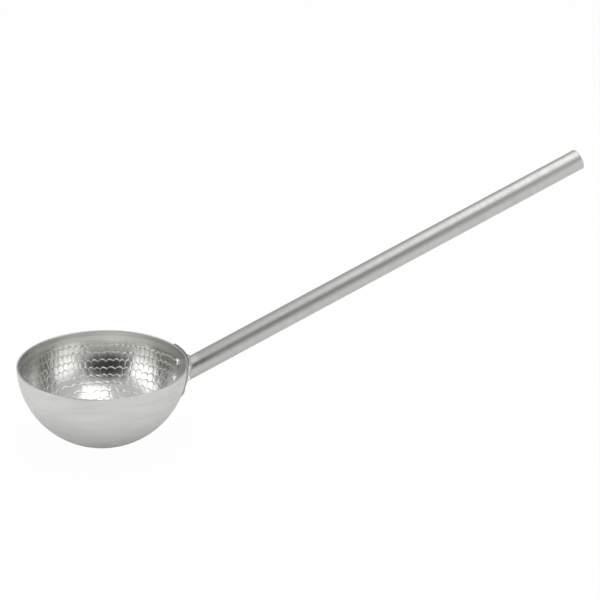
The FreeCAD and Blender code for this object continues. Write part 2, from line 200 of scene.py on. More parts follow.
class NodeMaths:
    """The same functions as ArrayMaths, for numbers in a shader tree."""

    floor = staticmethod(node_function("FLOOR"))
    round = staticmethod(node_function("ROUND"))
    sine = staticmethod(node_function("SINE"))
    cosine = staticmethod(node_function("COSINE"))
    size = staticmethod(node_function("ABSOLUTE"))
    smaller = staticmethod(node_function("MINIMUM"))
    larger = staticmethod(node_function("MAXIMUM"))
    remainder = staticmethod(node_function("FLOORED_MODULO"))
    above = staticmethod(node_function("GREATER_THAN"))


# The marks' spacing along their run is their spacing across it divided by this.
GRAIN_STRETCH = 0.02
# Patches on a turned piece are this many times longer round it than along its axis.
PATCH_STREAKING = 5.0
# The patches' noise and the marks' noise add up to values between about these two.
NOISE_SUM_LOW, NOISE_SUM_HIGH = 0.6, 1.4


class Grain(Enum):
    """Which way the marks of polishing or turning run on a piece."""

    ROUND_THE_BOWL = "level rings about the bowl's axis"
    ROUND_THE_PIPE = "rings about the handle's axis"
    RANDOM = "no direction"


@dataclass(frozen=True)
class AluminiumFinish:
    """One finish of bare aluminium, from how its surface was made.

    Attributes:
        title: material name, the real material and its process.
        colour: sRGB hex of the metal as it reflects a white room.
        worn_colour: sRGB hex of the slightly duller patches.
        roughness: mean roughness of the reflections.
        roughness_spread: how far the roughness varies from patch to patch.
        grain: which way the fine marks run.
        mark_spacing: distance between the fine marks, in metres.
        mark_height: height of the fine marks, in metres.
        patch_size: size of the duller patches, in metres.
    """

    title: str
    colour: str
    worn_colour: str
    roughness: float
    roughness_spread: float
    grain: Grain
    mark_spacing: float
    mark_height: float
    patch_size: float

    @property
    def streaking(self) -> float:
        """How many times finer the patches are along the piece's axis than round it."""
        return 1.0 if self.grain is Grain.RANDOM else PATCH_STREAKING

    def grain_scale(self) -> Vector:
        """Work out the scale of the marks' noise.

        Returns:
            Features per metre along X, Y and Z.
        """
        across = 1.0 / self.mark_spacing
        along = across if self.grain is Grain.RANDOM else across * GRAIN_STRETCH
        return Vector((along, along, across))

    def make(self, turn: Matrix | None = None) -> bpy.types.Material:
        """Build the material.

        The colour runs to the worn one in patches, and the roughness follows the patches and the
        marks together.

        Args:
            turn: rotation that brings the piece's own axis to Z, for grain round the pipe.

        Returns:
            The new node material.
        """
        material = bpy.data.materials.new(self.title)
        material.use_nodes = True
        tree = material.node_tree
        tree.nodes.clear()
        place = add_node(tree, "ShaderNodeTexCoord").outputs["Object"]
        if turn is not None:
            turned = {"Vector": place, "Rotation": turn.to_euler()}
            place = add_node(tree, "ShaderNodeMapping", inputs=turned).outputs["Vector"]
        noises = []
        for stretch, scale, detail in (
            (self.grain_scale(), 1.0, 3.0),
            ((1.0, 1.0, self.streaking), 1.0 / self.patch_size, 4.0),
        ):
            stretched = {"Vector": place, "Scale": stretch}
            mapped = add_node(tree, "ShaderNodeMapping", inputs=stretched).outputs["Vector"]
            pattern = {"Vector": mapped, "Scale": scale, "Detail": detail}
            noises.append(add_node(tree, "ShaderNodeTexNoise", inputs=pattern).outputs["Fac"])
        marks, patches = noises
        colour = add_node(
            tree,
            "ShaderNodeMix",
            {"data_type": "RGBA"},
            {0: patches, 6: linear_colour(self.colour), 7: linear_colour(self.worn_colour)},
        )
        both = NodeValue(tree, patches) + NodeValue(tree, marks)
        roughness = add_node(
            tree,
            "ShaderNodeMapRange",
            inputs={
                "Value": both.socket,
                "From Min": NOISE_SUM_LOW,
                "From Max": NOISE_SUM_HIGH,
                "To Min": self.roughness - self.roughness_spread,
                "To Max": self.roughness + self.roughness_spread,
            },
        )
        bump = add_node(
            tree,
            "ShaderNodeBump",
            inputs={"Strength": 1.0, "Distance": self.mark_height, "Height": marks},
        )
        shader = add_node(
            tree,
            "ShaderNodeBsdfPrincipled",
            inputs={
                "Base Color": colour.outputs[2],
                "Metallic": 1.0,
                "Roughness": roughness.outputs[0],
                "Normal": bump.outputs["Normal"],
            },
        )
        add_node(tree, "ShaderNodeOutputMaterial", inputs={"Surface": shader.outputs[0]})
        return material


# Spun and satin-brushed sheet: soft wide reflections with faint level rings.
SATIN_SHEET = AluminiumFinish(
    title="aluminium_sheet_spun_satin",
    colour="#E4E4E1",
    worn_colour="#CECECB",
    roughness=0.46,
    roughness_spread=0.07,
    grain=Grain.ROUND_THE_BOWL,
    mark_spacing=1.2 * MM,
    mark_height=0.030 * MM,
    patch_size=28 * MM,
)
# The same sheet inside the rim, wiped by the polishing of the beaten wall: smoother satin.
WIPED_SHEET = AluminiumFinish(
    title="aluminium_sheet_spun_wiped",
    colour="#E0E0DD",
    worn_colour="#D0D0CD",
    roughness=0.36,
    roughness_spread=0.05,
    grain=Grain.ROUND_THE_BOWL,
    mark_spacing=0.9 * MM,
    mark_height=0.012 * MM,
    patch_size=28 * MM,
)
# Polished and beaten sheet: clear reflections broken up by the hammer's facets.
BEATEN_SHEET = AluminiumFinish(
    title="aluminium_sheet_beaten_polished",
    colour="#EEEEEB",
    worn_colour="#E2E2DE",
    roughness=0.22,
    roughness_spread=0.04,
    grain=Grain.RANDOM,
    mark_spacing=1.2 * MM,
    mark_height=0.010 * MM,
    patch_size=18 * MM,
)
# Pressed plate, rubbed by handling: plain satin.
PRESSED_PLATE = AluminiumFinish(
    title="aluminium_plate_pressed",
    colour="#CFCFCC",
    worn_colour="#BDBDBA",
    roughness=0.36,
    roughness_spread=0.06,
    grain=Grain.RANDOM,
    mark_spacing=1.0 * MM,
    mark_height=0.02 * MM,
    patch_size=9 * MM,
)
# Sheared edge of the plate, left as it was cut: dull, and darkened as painted shade of the gap
# between the plate and the bowl.
SHEARED_EDGE_PAINTED_SHADE = AluminiumFinish(
    title="aluminium_plate_sheared",
    colour="#9A9A97",
    worn_colour="#868683",
    roughness=0.50,
    roughness_spread=0.08,
    grain=Grain.RANDOM,
    mark_spacing=0.5 * MM,
    mark_height=0.02 * MM,
    patch_size=4 * MM,
)
# Drawn pipe, linished: long soft highlights, faint rings across the pipe.
DRAWN_PIPE = AluminiumFinish(
    title="aluminium_pipe_drawn_linished",
    colour="#CECECB",
    worn_colour="#C0C0BD",
    roughness=0.44,
    roughness_spread=0.05,
    grain=Grain.ROUND_THE_PIPE,
    mark_spacing=1.0 * MM,
    mark_height=0.020 * MM,
    patch_size=30 * MM,
)
# Weld metal, brushed after welding: bright, uneven.
WELD_METAL = AluminiumFinish(
    title="aluminium_weld_brushed",
    colour="#DCDCD9",
    worn_colour="#C2C2BE",
    roughness=0.26,
    roughness_spread=0.08,
    grain=Grain.RANDOM,
    mark_spacing=0.8 * MM,
    mark_height=0.05 * MM,
    patch_size=3 * MM,
)
# Rivets, polished by the snap tool that domed them.
RIVET_METAL = AluminiumFinish(
    title="aluminium_rivet_snapped",
    colour="#FCFCFA",
    worn_colour="#F2F2EF",
    roughness=0.22,
    roughness_spread=0.03,
    grain=Grain.RANDOM,
    mark_spacing=0.9 * MM,
    mark_height=0.008 * MM,
    patch_size=3 * MM,
)


# ---------------------------------------------------------------- meshes from grids


def grid_faces(rows: int, columns: int, closed: bool, first: int = 0) -> np.ndarray:
    """Quads of a grid of points numbered row by row.

    Args:
        rows: number of rows of points.
        columns: number of points in a row.
        closed: whether the last column joins the first.
        first: number of the grid's first point.

    Returns:
        Array of four point numbers a quad, turned so that rows x columns is the outward side.
    """
    row = np.arange(rows - 1)[:, None]
    column = np.arange(columns if closed else columns - 1)[None, :]
    following = (column + 1) % columns
    corners = (
        row * columns + column,
        row * columns + following,
        (row + 1) * columns + following,
        (row + 1) * columns + column,
    )
    shape = (rows - 1, column.size)
    return first + np.stack([np.broadcast_to(c, shape) for c in corners], -1).reshape(-1, 4)


def mesh_object(
    name: str,
    points: np.ndarray,
    quads: np.ndarray,
    triangles: np.ndarray | None = None,
) -> bpy.types.Object:
    """Make a smooth-shaded mesh object at the origin.

    Args:
        name: the piece's name.
        points: array of x, y, z in metres.
        quads: array of four point numbers a face.
        triangles: array of three point numbers a face, for poles.

    Returns:
        The object, linked to the scene.
    """
    if triangles is None:
        triangles = np.zeros((0, 3), dtype=int)
    mesh = bpy.data.meshes.new(name)
    mesh.vertices.add(len(points))
    mesh.vertices.foreach_set("co", np.asarray(points, dtype=np.float32).ravel())
    corners = np.concatenate([quads.ravel(), triangles.ravel()])
    mesh.loops.add(len(corners))
    mesh.loops.foreach_set("vertex_index", corners.astype(np.int32))
    lengths = np.concatenate([np.full(len(quads), 4), np.full(len(triangles), 3)])
    starts = np.concatenate([[0], np.cumsum(lengths)[:-1]])
    mesh.polygons.add(len(lengths))
    mesh.polygons.foreach_set("loop_start", starts.astype(np.int32))
    mesh.polygons.foreach_set("use_smooth", np.ones(len(lengths), dtype=bool))
    mesh.update(calc_edges=True)
    mesh.validate()
    made = bpy.data.objects.new(name, mesh)
    bpy.context.scene.collection.objects.link(made)
    return made


def pole_fans(rows: int, columns: int) -> np.ndarray:
    """Triangles that close a closed grid's first and last rows to two pole points after it.

    Args:
        rows: number of rows of points.
        columns: number of points in a row.

    Returns:
        Array of three point numbers a triangle, the first row's fan before the last row's.
    """
    column = np.arange(columns)
    following = (column + 1) % columns
    start_pole, end_pole = rows * columns, rows * columns + 1
    last = (rows - 1) * columns
    first_fan = np.stack([np.full(columns, start_pole), following, column], -1)
    last_fan = np.stack([np.full(columns, end_pole), last + column, last + following], -1)
    return np.concatenate([first_fan, last_fan])


def turned_surface(
    name: str, radii: np.ndarray, heights: np.ndarray, axes: "AxisFrame", segments: int
) -> bpy.types.Object:
    """Surface of revolution: radius and height along a profile, turned about an axis.

    A point is origin + height * axis + radius * (cos turn * across + sin turn * side).

    Args:
        name: the piece's name.
        radii: radius at each point of the profile; the first and last are the poles.
        heights: height along the axis at each point.
        axes: the axis frame.
        segments: number of points round the axis.

    Returns:
        The closed object.
    """
    turn = np.linspace(0.0, FULL_TURN, segments, endpoint=False)
    ring = np.cos(turn)[:, None] * axes.across + np.sin(turn)[:, None] * axes.side
    body = axes.origin + heights[1:-1, None, None] * axes.axis + radii[1:-1, None, None] * ring
    poles = axes.origin + heights[[0, -1], None] * axes.axis
    rows = len(radii) - 2
    points = np.concatenate([body.reshape(-1, 3), poles])
    return mesh_object(name, points, grid_faces(rows, segments, True), pole_fans(rows, segments))


@dataclass(frozen=True)
class AxisFrame:
    """A place and three unit directions square to each other.

    Attributes:
        origin: the place.
        axis: direction of the piece's own axis.
        across: direction from which turns are counted.
        side: direction of a quarter turn from it.
    """

    origin: np.ndarray
    axis: np.ndarray
    across: np.ndarray
    side: np.ndarray


# ---------------------------------------------------------------- the bowl


@dataclass
class HammerMarks:
    """Rows of overlapping hammer facets, each with an arched top over the row above.

    Attributes:
        radius: inner radius of the bowl.
        first_row: distance of the first row's tops below the rim.
        row_pitch: distance from row to row down the wall.
        upper_width: width of a facet in the top row.
        lower_width: width of a facet near the bottom.
        arch: how far a facet's top rises at its middle.
        depth: depth of a facet below its ridges.
        edge: share of a facet over which its top edge drops.
        fall: share of the depth that is gone at a facet's lower end, and at its sides.
        tilt: greatest rise of a facet from its middle to one side.
        scatter: how far apart the tops of a row's facets may lie.
        least_strength: share of the depth that the faintest facet has.
        strength_range: how much more of it the strongest facet has.
        widening_rows: number of rows over which the facets widen.
        crest: height of the burr along the tops of a row.
        seam: height of the burr between two facets of a row.
        burr_width: half the width of a burr.
        rim_fade: distance over which the marks set in below the plain band.
        plain_turn: half the angle of the plain patch behind the rivets, in degrees.
        plain_turn_fade: degrees over which the marks set in beside it.
        plain_depth: how far below the rim it reaches.
        plain_depth_fade: distance over which the marks set in under it.
    """

    radius: float
    first_row: float = 7.6 * MM
    row_pitch: float = 7.2 * MM
    upper_width: float = 5.0 * MM
    lower_width: float = 7.6 * MM
    arch: float = 2.2 * MM
    depth: float = 0.125 * MM
    edge: float = 0.12
    fall: float = 0.6
    tilt: float = 0.06 * MM
    scatter: float = 1.1 * MM
    least_strength: float = 0.55
    strength_range: float = 0.9
    widening_rows: float = 8.0
    crest: float = 0.13 * MM
    seam: float = 0.028 * MM
    burr_width: float = 0.55 * MM
    rim_fade: float = 7.0 * MM
    plain_turn: float = 5.0
    plain_turn_fade: float = 7.0
    plain_depth: float = 34.0 * MM
    plain_depth_fade: float = 6.0 * MM

    def relief(self, maths: type, distance: Number, turn: Number) -> tuple[Number, Number]:
        """How far the beaten wall lies outside its ball, by one formula for arrays and shaders.

        The distance sways by 0.5 mm three times and by 0.35 mm seven times round the bowl. The
        row is the lower of the two near rows wherever the point is below that row's top, else the
        upper one. In its facet a point's share down runs from 0 at the top, and across from -1
        to 1. The hollow is depth * strength * rise(down) * (1 - fall * down) *
        (1 - fall * across^4). A lean to one side and up or down, which fades by 1 - across^4, is
        added. Burrs stand along the rows' tops and between the facets, and fall to nothing over
        burr_width. All fade out near the rim and on the plain patch behind the rivets.

        Args:
            maths: ArrayMaths or NodeMaths.
            distance: distance down the wall from the rim, in metres.
            turn: angle round the bowl from the handle, between -pi and pi.

        Returns:
            Depth of the facets and height of the burrs, in metres.
        """
        sway = 0.5 * MM * maths.sine(3.0 * turn + 1.3) + 0.35 * MM * maths.sine(7.0 * turn)
        wavy = distance + sway
        above = maths.floor((wavy - self.first_row) / self.row_pitch)
        upper = self._row(maths, above, turn)
        lower = self._row(maths, above + 1.0, turn)
        newer = maths.above(wavy, lower[0])
        top, across, strength, lean, nod = (u + newer * (b - u) for u, b in zip(upper, lower))
        reach = self.row_pitch + 0.4 * self.arch
        down = maths.smaller(maths.larger((wavy - top) / reach, 0.0), 1.0)
        rise = self._ramp(maths, down / self.edge)
        squared = across * across
        inside = 1.0 - squared * squared
        sides = (1.0 - self.fall) + self.fall * inside
        hollow = self.depth * strength * rise * (1.0 - self.fall * down) * sides
        tilted = self.tilt * (lean * across + nod * (2.0 * down - 1.0)) * rise * inside
        beside = maths.smaller(maths.size(wavy - upper[0]), maths.size(wavy - lower[0]))
        crest = self.crest * strength * (1.0 - self._ramp(maths, beside / self.burr_width))
        border = (1.0 - maths.size(across)) * (0.5 * self.upper_width / self.burr_width)
        seam = self.seam * (1.0 - self._ramp(maths, border))
        cover = self.cover(maths, distance, turn)
        return (hollow + tilted) * cover, maths.larger(crest, seam) * cover

    def cover(self, maths: type, distance: Number, turn: Number) -> Number:
        """Share of the hammering at a place: 0 at the rim and behind the rivets, 1 elsewhere.

        Args:
            maths: ArrayMaths or NodeMaths.
            distance: distance down the wall from the rim, in metres.
            turn: angle round the bowl from the handle, between -pi and pi.

        Returns:
            The share.
        """
        plain, fade = math.radians(self.plain_turn), math.radians(self.plain_turn_fade)
        marked = self._ramp(maths, (distance - self.first_row + self.arch) / self.rim_fade)
        beside = self._ramp(maths, (maths.size(turn) - plain) / fade)
        below = self._ramp(maths, (distance - self.plain_depth) / self.plain_depth_fade)
        return marked * maths.larger(beside, below)

    @staticmethod
    def _ramp(maths: type, share: Number) -> Number:
        """Rise from 0 to 1 as 3x^2 - 2x^3 while x goes from 0 to 1."""
        held = maths.smaller(maths.larger(share, 0.0), 1.0)
        return held * held * (3.0 - 2.0 * held)

    @staticmethod
    def _chance(maths: type, row: Number, facet: Number, kind: float) -> Number:
        """Number from 0 to 1 that looks random, one for each row, facet and kind.

        It is the part after the point of 7.13 * sin(2.31 * row + 1.73 * facet + kind).

        Args:
            maths: ArrayMaths or NodeMaths.
            row: number of the row.
            facet: number of the facet in it.
            kind: a number for what is drawn, so that two draws for a facet differ.

        Returns:
            The chance number.
        """
        wave = 7.13 * maths.sine(2.31 * row + 1.73 * facet + kind)
        return wave - maths.floor(wave)

    def _row(self, maths: type, row: Number, turn: Number) -> tuple[Number, ...]:
        """Facet of one row at an angle.

        A row has as many facets as its ring's length holds of its facet width, and three at
        least. Its facets start at a chance phase and sway by up to a third of their width.

        Args:
            maths: ArrayMaths or NodeMaths.
            row: number of the row, from 0 at the top.
            turn: angle round the bowl from the handle.

        Returns:
            Distance of the facet's top edge from the rim, place across, strength, lean to a side
            and lean up or down.
        """
        middle = (row * self.row_pitch + (self.first_row + 0.5 * self.row_pitch)) / self.radius
        level = maths.larger(maths.cosine(maths.smaller(middle, QUARTER_TURN)), 0.02)
        ring = FULL_TURN * self.radius * level
        widening = maths.smaller(maths.larger(row / self.widening_rows, 0.0), 1.0)
        width = (self.lower_width - self.upper_width) * widening + self.upper_width
        count = maths.larger(maths.round(ring / width), 3.0)
        phase = self._chance(maths, row, row, 0.4)
        sway = 0.2 * maths.sine(5.0 * turn + row) + 0.14 * maths.sine(11.0 * turn + 2.0 * row)
        place = count * turn / FULL_TURN + phase + sway
        whole = maths.floor(place)
        across = 2.0 * (place - whole) - 1.0
        facet = maths.remainder(whole, count)
        shift = self.scatter * (self._chance(maths, row, facet, 1.9) - 0.5)
        top = row * self.row_pitch + self.first_row + shift - self.arch * (1.0 - across * across)
        strength = self.least_strength + self.strength_range * self._chance(maths, row, facet, 4.2)
        lean = 2.0 * self._chance(maths, row, facet, 8.8) - 1.0
        nod = 2.0 * self._chance(maths, row, facet, 6.1) - 1.0
        return top, across, strength, lean, nod


@dataclass
class Bowl:
    """Half-round spun bowl, satin outside and under the rim, beaten and polished inside.

    Attributes:
        rim_radius: outer radius at the rim, and of the outer wall's ball.
        depth: height of the rim over the flat base.
        wall: thickness of the sheet.
        rim_rounding: radius of the cut rim's two edges.
        columns: points round the bowl.
        inside_rows: rows of points on the inside.
        outside_rows: rows of points on the outside.
        rounding_rows: rows of points on each of the rim's edges.
        inside_pole: angle from straight down at which the inside's rows stop.
        outside_pole: the same for the outside; fans close both to their poles.
    """

    rim_radius: float
    depth: float
    wall: float = 1.6 * MM
    rim_rounding: float = 0.5 * MM
    columns: int = 500
    inside_rows: int = 160
    outside_rows: int = 28
    rounding_rows: int = 4
    inside_pole: float = 0.4 * QUARTER_TURN / 160
    outside_pole: float = 0.02

    @property
    def centre(self) -> np.ndarray:
        """Centre of the bowl's ball, in the rim plane."""
        return np.array([0.0, 0.0, self.depth])

    @property
    def inner_radius(self) -> float:
        """Radius of the inner wall."""
        return self.rim_radius - self.wall

    @property
    def marks(self) -> HammerMarks:
        """The hammer's marks on the inner wall."""
        return HammerMarks(self.inner_radius)

    def build(self) -> bpy.types.Object:
        """Make the bowl as one closed grid, from the inner pole over the rim to the outer pole.

        On the inside a point is centre + (radius + relief) * (sin p cos t, sin p sin t, -cos p),
        with p the angle from straight down and t the turn. It is held above the flat base.

        Returns:
            The bowl, replacing its CAD node.
        """
        turn = np.linspace(0.0, FULL_TURN, self.columns, endpoint=False)[None, :]
        last_inside = QUARTER_TURN - self.rim_rounding / self.inner_radius
        angle_in = np.linspace(self.inside_pole, last_inside, self.inside_rows)[:, None]
        relief = self._relief(angle_in, turn)
        inside = self._ball(self.inner_radius, angle_in, turn, self.wall, relief)
        rim = self._rim(turn)
        last_outside = QUARTER_TURN - self.rim_rounding / self.rim_radius
        angle_out = np.linspace(last_outside, self.outside_pole, self.outside_rows)[:, None]
        outside = self._ball(self.rim_radius, angle_out, turn, 0.0, np.zeros_like(angle_out * turn))
        rows = np.concatenate([inside, rim, outside])
        poles = np.array([[0.0, 0.0, self.wall], [0.0, 0.0, 0.0]])
        points = np.concatenate([rows.reshape(-1, 3), poles])
        quads = grid_faces(len(rows), self.columns, True)
        made = mesh_object("beaten_bowl", points, quads, pole_fans(len(rows), self.columns))
        self._dress(made, len(rows))
        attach(made, BODY)
        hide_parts("bowl")
        return made

    def _relief(self, angle: np.ndarray, turn: np.ndarray) -> np.ndarray:
        """The mesh's share of the hammer marks at each point of the inside grid.

        Args:
            angle: angle of each row from straight down.
            turn: angle of each column round the bowl.

        Returns:
            How far each point lies outside the ball, in metres.
        """
        distance = self.inner_radius * (QUARTER_TURN - angle) + 0.0 * turn
        from_handle = np.angle(np.exp(1j * turn)) + 0.0 * angle
        return MESH_SHARE * self.marks.relief(ArrayMaths, distance, from_handle)[0]

    def _ball(
        self, radius: float, angle: np.ndarray, turn: np.ndarray, floor: float, relief: np.ndarray
    ) -> np.ndarray:
        """Rows of points of a ball's lower half, cut flat at a height and pushed out by a relief.

        Args:
            radius: radius of the ball about the bowl's centre.
            angle: angle of each row from straight down.
            turn: angle of each column round the bowl.
            floor: least height of a point.
            relief: how far each point is pushed out from the ball, or down from the flat.

        Returns:
            Array of rows x columns x 3.
        """
        flat = self.depth - radius * np.cos(angle) < floor
        height = np.maximum(self.depth - radius * np.cos(angle), floor)
        ring = radius * np.sin(angle)
        outward_ring = np.where(flat, 0.0, np.sin(angle))
        outward_down = np.where(flat, 1.0, np.cos(angle))
        reach = ring + relief * outward_ring
        z = height - relief * outward_down
        return np.stack([reach * np.cos(turn), reach * np.sin(turn), z + 0.0 * turn], -1)

    def _rim(self, turn: np.ndarray) -> np.ndarray:
        """Rows over the cut rim: a quarter round on each edge with the flat between them.

        With q from 0 to a quarter turn, the inner edge is at inner radius + r * (1 - cos q) and
        depth - r * (1 - sin q), and the outer edge mirrors it.

        Args:
            turn: angle of each column round the bowl.

        Returns:
            Array of rows x columns x 3.
        """
        quarter = np.linspace(0.0, QUARTER_TURN, self.rounding_rows + 1)[1:]
        rounding = self.rim_rounding
        inner = self.inner_radius + rounding * (1.0 - np.cos(quarter))
        outer = self.rim_radius - rounding * (1.0 - np.cos(quarter[::-1]))
        rise = self.depth - rounding * (1.0 - np.sin(quarter))
        ring = np.concatenate([inner, outer])[:, None]
        height = np.concatenate([rise, rise[::-1]])[:, None]
        return np.stack([ring * np.cos(turn), ring * np.sin(turn), height + 0.0 * turn], -1)

    def _dress(self, made: bpy.types.Object, rows: int) -> None:
        """Give the inside its beaten finish, the rim and the band under it the wiped one.

        The outside keeps plain satin. The faces' rows run as the points' rows do.

        Args:
            made: the bowl's object.
            rows: number of its rows of points.
        """
        made.data.materials.append(SATIN_SHEET.make())
        beaten = BEATEN_SHEET.make()
        self._beat(beaten)
        made.data.materials.append(beaten)
        made.data.materials.append(WIPED_SHEET.make())
        per_row = self.columns
        plain = (self.marks.first_row - self.marks.arch) / (self.inner_radius * QUARTER_TURN)
        band = int(plain * self.inside_rows)
        index = np.zeros(len(made.data.polygons), dtype=np.int32)
        index[: (self.inside_rows - band) * per_row] = 1
        over_rim = self.inside_rows + 2 * self.rounding_rows
        index[(self.inside_rows - band) * per_row : over_rim * per_row] = 2
        first_fan = (rows - 1) * per_row
        index[first_fan : first_fan + per_row] = 1
        made.data.polygons.foreach_set("material_index", index)

    def _beat(self, material: bpy.types.Material) -> None:
        """Add the bump's share of the hammer marks to a material, and leave plain parts satin.

        A point's distance from the rim is radius * asin(depth below the rim / distance from the
        ball's centre), and its turn is atan2(y, x).

        Args:
            material: the beaten sheet's material.
        """
        tree = material.node_tree
        place = add_node(tree, "ShaderNodeTexCoord").outputs["Object"]
        ends = {0: place, 1: Vector(self.centre)}
        offset = add_node(tree, "ShaderNodeVectorMath", {"operation": "SUBTRACT"}, ends)
        centred = offset.outputs[0]
        reach = add_node(tree, "ShaderNodeVectorMath", {"operation": "LENGTH"}, {0: centred})
        parts = add_node(tree, "ShaderNodeSeparateXYZ", inputs={0: centred})
        x, y, z = (NodeValue(tree, parts.outputs[axis]) for axis in "XYZ")
        sunk = (z * -1.0) / NodeValue(tree, reach.outputs["Value"])
        distance = sunk.math("ARCSINE") * self.inner_radius
        turn = y.math("ARCTAN2", x)
        facets, burrs = self.marks.relief(NodeMaths, distance, turn)
        shader = next(node for node in tree.nodes if node.type == "BSDF_PRINCIPLED")
        polished = NodeValue(tree, shader.inputs["Roughness"].links[0].from_socket)
        satin = WIPED_SHEET.roughness
        blended = (polished - satin) * self.marks.cover(NodeMaths, distance, turn) + satin
        tree.links.new(blended.socket, shader.inputs["Roughness"])
        inward = burrs - facets * (1.0 - MESH_SHARE)
        height = {"Strength": 1.0, "Distance": 1.0, "Height": inward.socket}
        beaten = add_node(tree, "ShaderNodeBump", inputs=height)
        fine = next(node for node in tree.nodes if node.type == "BUMP" and node != beaten)
        tree.links.new(beaten.outputs["Normal"], fine.inputs["Normal"])


# ---------------------------------------------------------------- the handle


@dataclass
class Handle:
    """Pipe, weld and plug on one straight axis that meets the saddle's ball.

    Attributes:
        bowl: the bowl that the handle is joined to.
        pipe_radius: outer radius of the pipe.
        tip: the axis's point at the pipe's free end.
        axis: direction from the root to the tip.
        saddle_face: radius of the saddle's outer face about the bowl's centre.
        pipe_wall: thickness of the pipe's wall.
        tip_rounding: radius of the free end's outer edge.
        weld_leg: width of the weld on the pipe and on the saddle.
        plug_crown: height of the bulge on the plug.
        plug_recess: how far the bulge lies inside the pipe's end.
        plug_thickness: thickness of the plug at its edge.
        plug_clearance: gap between the plug and the pipe's bore.
        segments: points round the pipe and the weld.
        pipe_rows: rows of points along the pipe's outside.
        tip_rows: rows of points over the rounded edge.
        weld_rows: rows of points across the weld's face.
        plug_segments: points round the plug.
        plug_rows: rows of points over the bulge.
        dressed_from: distance from the root at which the pipe is at its smoothest.
        dressed_to: distance from the root at which it has its drawn finish.
        dressed_share: the smoothest part's roughness over the drawn one's.
        painted_highlight_flank: shares of the crown and side towards the painted highlight's flank.
        painted_highlight_reach: shares of the radius, along that direction, where it starts and is
            full.
        painted_highlight_length: distances from the root where it is full and has ended.
        painted_highlight_colour: sRGB hex of the painted highlight on the root's upper flank.
    """

    bowl: Bowl
    pipe_radius: float
    tip: np.ndarray
    axis: np.ndarray
    saddle_face: float
    pipe_wall: float = 1.5 * MM
    tip_rounding: float = 0.9 * MM
    weld_leg: float = 3.0 * MM
    plug_crown: float = 0.8 * MM
    plug_recess: float = 0.3 * MM
    plug_thickness: float = 3.0 * MM
    plug_clearance: float = 0.02 * MM
    segments: int = 96
    pipe_rows: int = 90
    tip_rows: int = 6
    weld_rows: int = 9
    plug_segments: int = 64
    plug_rows: int = 12
    dressed_from: float = 4.0 * MM
    dressed_to: float = 34.0 * MM
    dressed_share: float = 0.7
    # Painted highlight on the root's upper flank: where it lies and its near-white colour.
    painted_highlight_flank: tuple[float, float] = (0.81, -0.59)
    painted_highlight_reach: tuple[float, float] = (0.70, 0.96)
    painted_highlight_length: tuple[float, float] = (7.0 * MM, 20.0 * MM)
    painted_highlight_colour: str = "#F6F6F3"

    @property
    def side(self) -> np.ndarray:
        """Level direction square to the pipe."""
        return np.array([0.0, 1.0, 0.0])

    @property
    def crown(self) -> np.ndarray:
        """Direction from the axis to the pipe's top line."""
        return np.array([-self.axis[2], 0.0, self.axis[0]])

    def turns(self) -> np.ndarray:
        """Angles round the pipe, from its top line."""
        return np.linspace(0.0, FULL_TURN, self.segments, endpoint=False)

    def to_ball(self, turn: np.ndarray, radius: np.ndarray, ball: np.ndarray) -> np.ndarray:
        """Where lines along the pipe meet a ball about the bowl's centre.

        With b the line's foot less the centre and h = b . axis, the line meets the ball at
        -h + sqrt(h^2 - b . b + ball^2) along the axis.

        Args:
            turn: angle round the pipe.
            radius: distance of the line from the axis.
            ball: radius of the ball.

        Returns:
            Points, one for each set of arguments.
        """
        ring = np.cos(turn)[..., None] * self.crown + np.sin(turn)[..., None] * self.side
        foot = self.tip + np.asarray(radius)[..., None] * ring - self.bowl.centre
        along = foot @ self.axis
        reach = -along + np.sqrt(along**2 - (foot * foot).sum(-1) + np.asarray(ball) ** 2)
        return foot + reach[..., None] * self.axis + self.bowl.centre

    def build_pipe(self) -> bpy.types.Object:
        """Make the pipe: outer wall from root to tip, rounded end, bore back to the root.

        Returns:
            The pipe, replacing its CAD node.
        """
        turn = self.turns()
        bore = self.pipe_radius - self.pipe_wall
        ring = np.cos(turn)[:, None] * self.crown + np.sin(turn)[:, None] * self.side
        root = self.to_ball(turn, np.full_like(turn, self.pipe_radius), self.saddle_face)
        bore_root = self.to_ball(turn, np.full_like(turn, bore), self.saddle_face)
        end = self.tip - self.tip_rounding * self.axis + self.pipe_radius * ring
        share = np.linspace(0.0, 1.0, self.pipe_rows)[:, None, None]
        outer = root + share * (end - root)
        quarter = np.linspace(0.0, QUARTER_TURN, self.tip_rows + 1)[1:, None, None]
        back = self.tip_rounding * (1.0 - np.sin(quarter))
        inward = self.tip_rounding * (1.0 - np.cos(quarter))
        rounded = self.tip - back * self.axis + (self.pipe_radius - inward) * ring
        bore_end = (self.tip + bore * ring)[None]
        rows = np.concatenate([outer, rounded, bore_end, bore_root[None], root[None]])
        points = rows[:-1].reshape(-1, 3)
        quads = grid_faces(len(rows), self.segments, True)
        quads = np.where(quads >= len(points), quads - len(points), quads)
        made = mesh_object("pipe_handle", points, quads[:, ::-1])
        metal = DRAWN_PIPE.make(self._upright())
        self._polish_and_paint_highlight(metal)
        made.data.materials.append(metal)
        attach(made, BODY)
        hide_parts("handle_tube")
        return made

